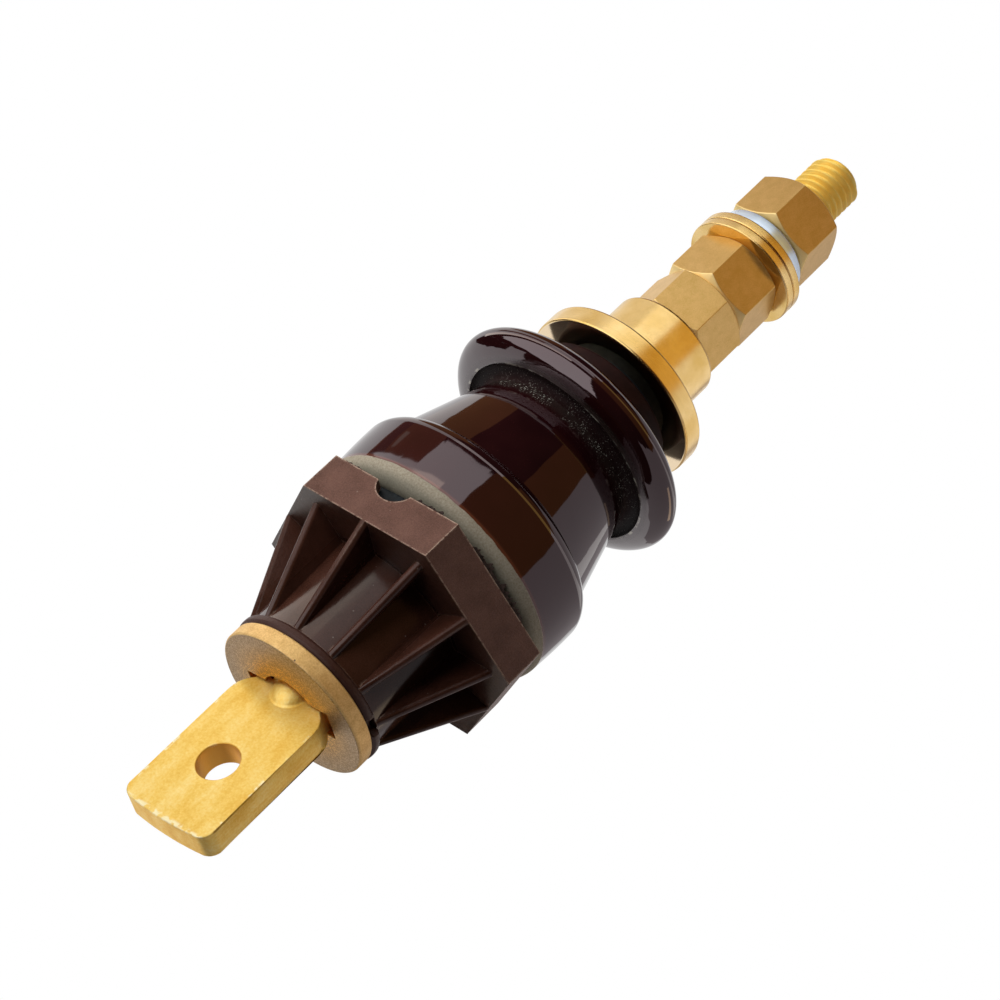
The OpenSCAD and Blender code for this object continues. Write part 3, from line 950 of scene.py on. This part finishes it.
# What the glaze and the brass mirror: far walls on a sphere round the object, by azimuth and elevation
# in degrees, each in front of those listed before it, and near screens on cylinders round its axis, by
# azimuth, radius and height. The walls' edges waver by WALL_WAVER over about WAVER_LENGTH, in degrees
STUDIO_CENTRE = Vector((0, 0, 30 * MM))
STUDIO_R = 0.9
WALL_STEP = 10 * MM
WALL_WAVER = (3.0, 0.5)
WAVER_LENGTH = (11, 5)
DARK = (0.025, 0.014, 0.012)
WARM = (0.20, 0.085, 0.03)
RUSSET = (0.26, 0.105, 0.06)
PALE = (1.3, 1.28, 1.28)
BRIGHT = (1.9, 1.85, 1.85)
DIM = (0.48, 0.44, 0.45)
WALLS = {
    "dark_room": ((-80, 93), (-86, 86), DARK),
    "dark_side": ((-98, -80), (-40, 4), DARK),
    "dark_ground": ((-180, 180), (-90, -50), DARK),
    "dim_table": ((93, 192), (-50, 80), DIM),
    "warm_wall": ((20, 93), (-12, 34), WARM),
    "warm_ceiling": ((43, 95), (34, 64), WARM),
    "russet_wall": ((-80, -30), (8, 34), RUSSET),
    "russet_ceiling": ((-100, -38), (34, 64), (0.26, 0.12, 0.045)),
    "russet_edge": ((-78, -67), (17, 34), (0.15, 0.065, 0.055)),
    "wall_lamp": ((-65, -61), (20, 23.5), (0.45, 0.33, 0.27)),
    "upper_window": ((-30, 20), (8, 24.2), PALE),
    "window_top": ((-27, 17), (24.2, 25), PALE),
    "side_window": ((-98, -45), (6, 18.2), PALE),
    "corner_window": ((-45, -30), (6, 17.6), PALE),
    "lower_window": ((-70, 19), (-78, -11), BRIGHT),
}
SCREENS = {
    "pale_screen": ((-105, -25), 0.4, (0.236, 0.372), (1.1, 1.06, 1.02)),
    "front_screen": ((-25, 26), 0.4, (0.236, 0.372), (1.6, 1.56, 1.5)),
    "gold_screen": ((26, 86), 0.4, (0.236, 0.372), (0.96, 0.63, 0.17)),
    "white_screen": ((86, 175), 0.4, (0.236, 0.372), (1.12, 1.09, 1.07)),
    "palm_screen": ((-85, 0), 0.25, (0.035, 0.08), (2.6, 2.4, 2.15)),
    "palm_side_screen": ((126, 160), 0.25, (0.03, 0.08), (1.8, 1.44, 1.05)),
    "palm_end_screen": ((196, 244), 0.1, (-0.14, -0.095), (2.2, 1.8, 1.2)),
    "flange_shade": ((165, 216), 0.06, (-0.045, -0.014), DARK),
}


def facing(direction, upward):
    """A rotation whose -Z axis points against the direction and whose X axis lies across upward."""
    z = direction.normalized()
    x = upward.cross(z).normalized()
    return Matrix((x, z.cross(x), z)).transposed().to_4x4()


def add_area_light(name, direction, distance, size, power):
    """A softbox turned to the object, left out of mirrored views, which see the studio instead."""
    data = bpy.data.lights.new(name, "AREA")
    data.shape = "RECTANGLE"
    data.size, data.size_y = size
    data.energy = power
    light = bpy.data.objects.new(name, data)
    towards = polar(*[math.radians(a) for a in direction])
    place = facing(towards, Vector((0, 0, 1)))
    place.translation = towards * distance
    light.matrix_world = place
    light.visible_glossy = False
    bpy.context.scene.collection.objects.link(light)


def add_card(name, across, up, place, colour):
    """A curved card that glows plainly and is seen only in reflections; place gives its points."""
    wide = len(across)
    points = [place(a, b) for b in up for a in across]
    corners = [row * wide + k for row in range(len(up) - 1) for k in range(wide - 1)]
    mesh = bpy.data.meshes.new(name)
    mesh.from_pydata(points, [], [(k, k + 1, k + wide + 1, k + wide) for k in corners])
    card = bpy.data.objects.new(name, mesh)
    bpy.context.scene.collection.objects.link(card)
    material = bpy.data.materials.new(name)
    material.use_nodes = True
    material.cycles.emission_sampling = "NONE"
    tree = material.node_tree
    glow = tree.nodes.new("ShaderNodeEmission")
    glow.inputs["Color"].default_value = (*colour, 1)
    tree.links.new(glow.outputs[0], tree.nodes["Material Output"].inputs["Surface"])
    mesh.materials.append(material)
    card.visible_camera = False
    card.visible_diffuse = False
    card.visible_shadow = False
    card.visible_transmission = False


def even(ends, steps=60):
    """Values from one end to the other in equal steps."""
    return [ends[0] + (ends[1] - ends[0]) * i / steps for i in range(steps + 1)]


def on_wall(azimuth, elevation, away):
    """A place on a far wall, moved a little so that the walls' edges aren't straight."""
    at = Vector((azimuth / WAVER_LENGTH[0], elevation / WAVER_LENGTH[1], 0))
    azimuth += WALL_WAVER[0] * noise.noise(at)
    elevation += WALL_WAVER[1] * noise.noise(at + Vector((0, 0, 7)))
    return STUDIO_CENTRE + away * polar(math.radians(azimuth), math.radians(elevation))


def add_studio():
    for depth, (name, (azimuths, elevations, colour)) in enumerate(WALLS.items()):
        away = STUDIO_R - depth * WALL_STEP
        add_card(name, even(azimuths), even(elevations), lambda a, e: on_wall(a, e, away), colour)
    for name, (azimuths, away, heights, colour) in SCREENS.items():
        add_card(name, even(azimuths), even(heights),
                 lambda a, z: away * polar(math.radians(a), 0) + Vector((0, 0, z)), colour)


def add_world():
    """White to the camera, to reflections and through glass, and a plain soft level on the object."""
    world = bpy.data.worlds.new("studio")
    bpy.context.scene.world = world
    world.use_nodes = True
    tree = world.node_tree
    path = tree.nodes.new("ShaderNodeLightPath")
    sky = tree.nodes["Background"]
    sky.inputs["Color"].default_value = (1, 1, 1, 1)
    seen = path.outputs["Is Camera Ray"]
    for ray in ("Is Glossy Ray", "Is Transmission Ray"):
        either = tree.nodes.new("ShaderNodeMath")
        either.operation = "MAXIMUM"
        tree.links.new(seen, either.inputs[0])
        tree.links.new(path.outputs[ray], either.inputs[1])
        seen = either.outputs[0]
    level = tree.nodes.new("ShaderNodeMapRange")
    level.inputs["To Min"].default_value = AMBIENT
    level.inputs["To Max"].default_value = 1.0
    tree.links.new(seen, level.inputs["Value"])
    tree.links.new(level.outputs[0], sky.inputs["Strength"])


FLOOR_HALF = 4.0
FLOOR_COLOUR = (0.8, 0.8, 0.8, 1)
FLOOR_GLOW = 0.5


def add_floor():
    """A pale floor under the palm, solid to a camera above it and open to everything else."""
    z = cad_box[0].z - 0.1 * MM
    mesh = bpy.data.meshes.new("floor")
    h = FLOOR_HALF
    mesh.from_pydata([(-h, -h, z), (h, -h, z), (h, h, z), (-h, h, z)], [], [(0, 1, 2, 3)])
    floor = bpy.data.objects.new("floor", mesh)
    bpy.context.scene.collection.objects.link(floor)
    material = bpy.data.materials.new("floor")
    material.use_nodes = True
    tree = material.node_tree
    tree.nodes.remove(tree.nodes["Principled BSDF"])
    paint = tree.nodes.new("ShaderNodeBsdfDiffuse")
    paint.inputs["Color"].default_value = FLOOR_COLOUR
    glow = tree.nodes.new("ShaderNodeEmission")
    glow.inputs["Strength"].default_value = FLOOR_GLOW
    both = tree.nodes.new("ShaderNodeAddShader")
    tree.links.new(paint.outputs[0], both.inputs[0])
    tree.links.new(glow.outputs[0], both.inputs[1])
    under = tree.nodes.new("ShaderNodeNewGeometry").outputs["Backfacing"]
    camera_ray = tree.nodes.new("ShaderNodeLightPath").outputs["Is Camera Ray"]
    shown = tree.nodes.new("ShaderNodeMath")
    shown.operation = "SUBTRACT"
    shown.use_clamp = True
    tree.links.new(camera_ray, shown.inputs[0])
    tree.links.new(under, shown.inputs[1])
    choice = tree.nodes.new("ShaderNodeMixShader")
    tree.links.new(shown.outputs[0], choice.inputs[0])
    tree.links.new(tree.nodes.new("ShaderNodeBsdfTransparent").outputs[0], choice.inputs[1])
    tree.links.new(both.outputs[0], choice.inputs[2])
    tree.links.new(choice.outputs[0], tree.nodes["Material Output"].inputs["Surface"])
    mesh.materials.append(material)


def make_object():
    bright, drawn = turned_brass(), drawn_brass()
    plastic, rubber = moulded_plastic(), black_rubber()
    make_stud(satin_brass(), threaded_brass())
    make_porcelain(brown_glaze(), dull_glaze(), dusty_glaze())
    make_cap(bright)
    make_flat_washers(bright)
    for node, turn in NUT_TURNS.items():
        make_nut(node, turn, drawn)
    make_neck_ring(plastic)
    make_flash(plastic)
    dress("lower_insulator", plastic)
    soften_cad("lower_insulator", 0.25 * MM)
    dress("bottom_washer", blasted_brass())
    soften_cad("bottom_washer", 0.2 * MM)
    dress("spring_washer", zinc_plate())
    soften_cad("spring_washer", 0.25 * MM)
    for node in ("tank_gasket", "top_seal"):
        dress(node, rubber)


def make_stage():
    add_camera()
    add_world()
    add_floor()
    add_area_light("key", KEY_DIRECTION, KEY_DISTANCE, KEY_SIZE, KEY_POWER)
    add_area_light("back_fill", FILL_DIRECTION, FILL_DISTANCE, FILL_SIZE, FILL_POWER)
    add_studio()


bpy.context.scene.view_settings.view_transform = "Standard"
make_object()
make_stage()
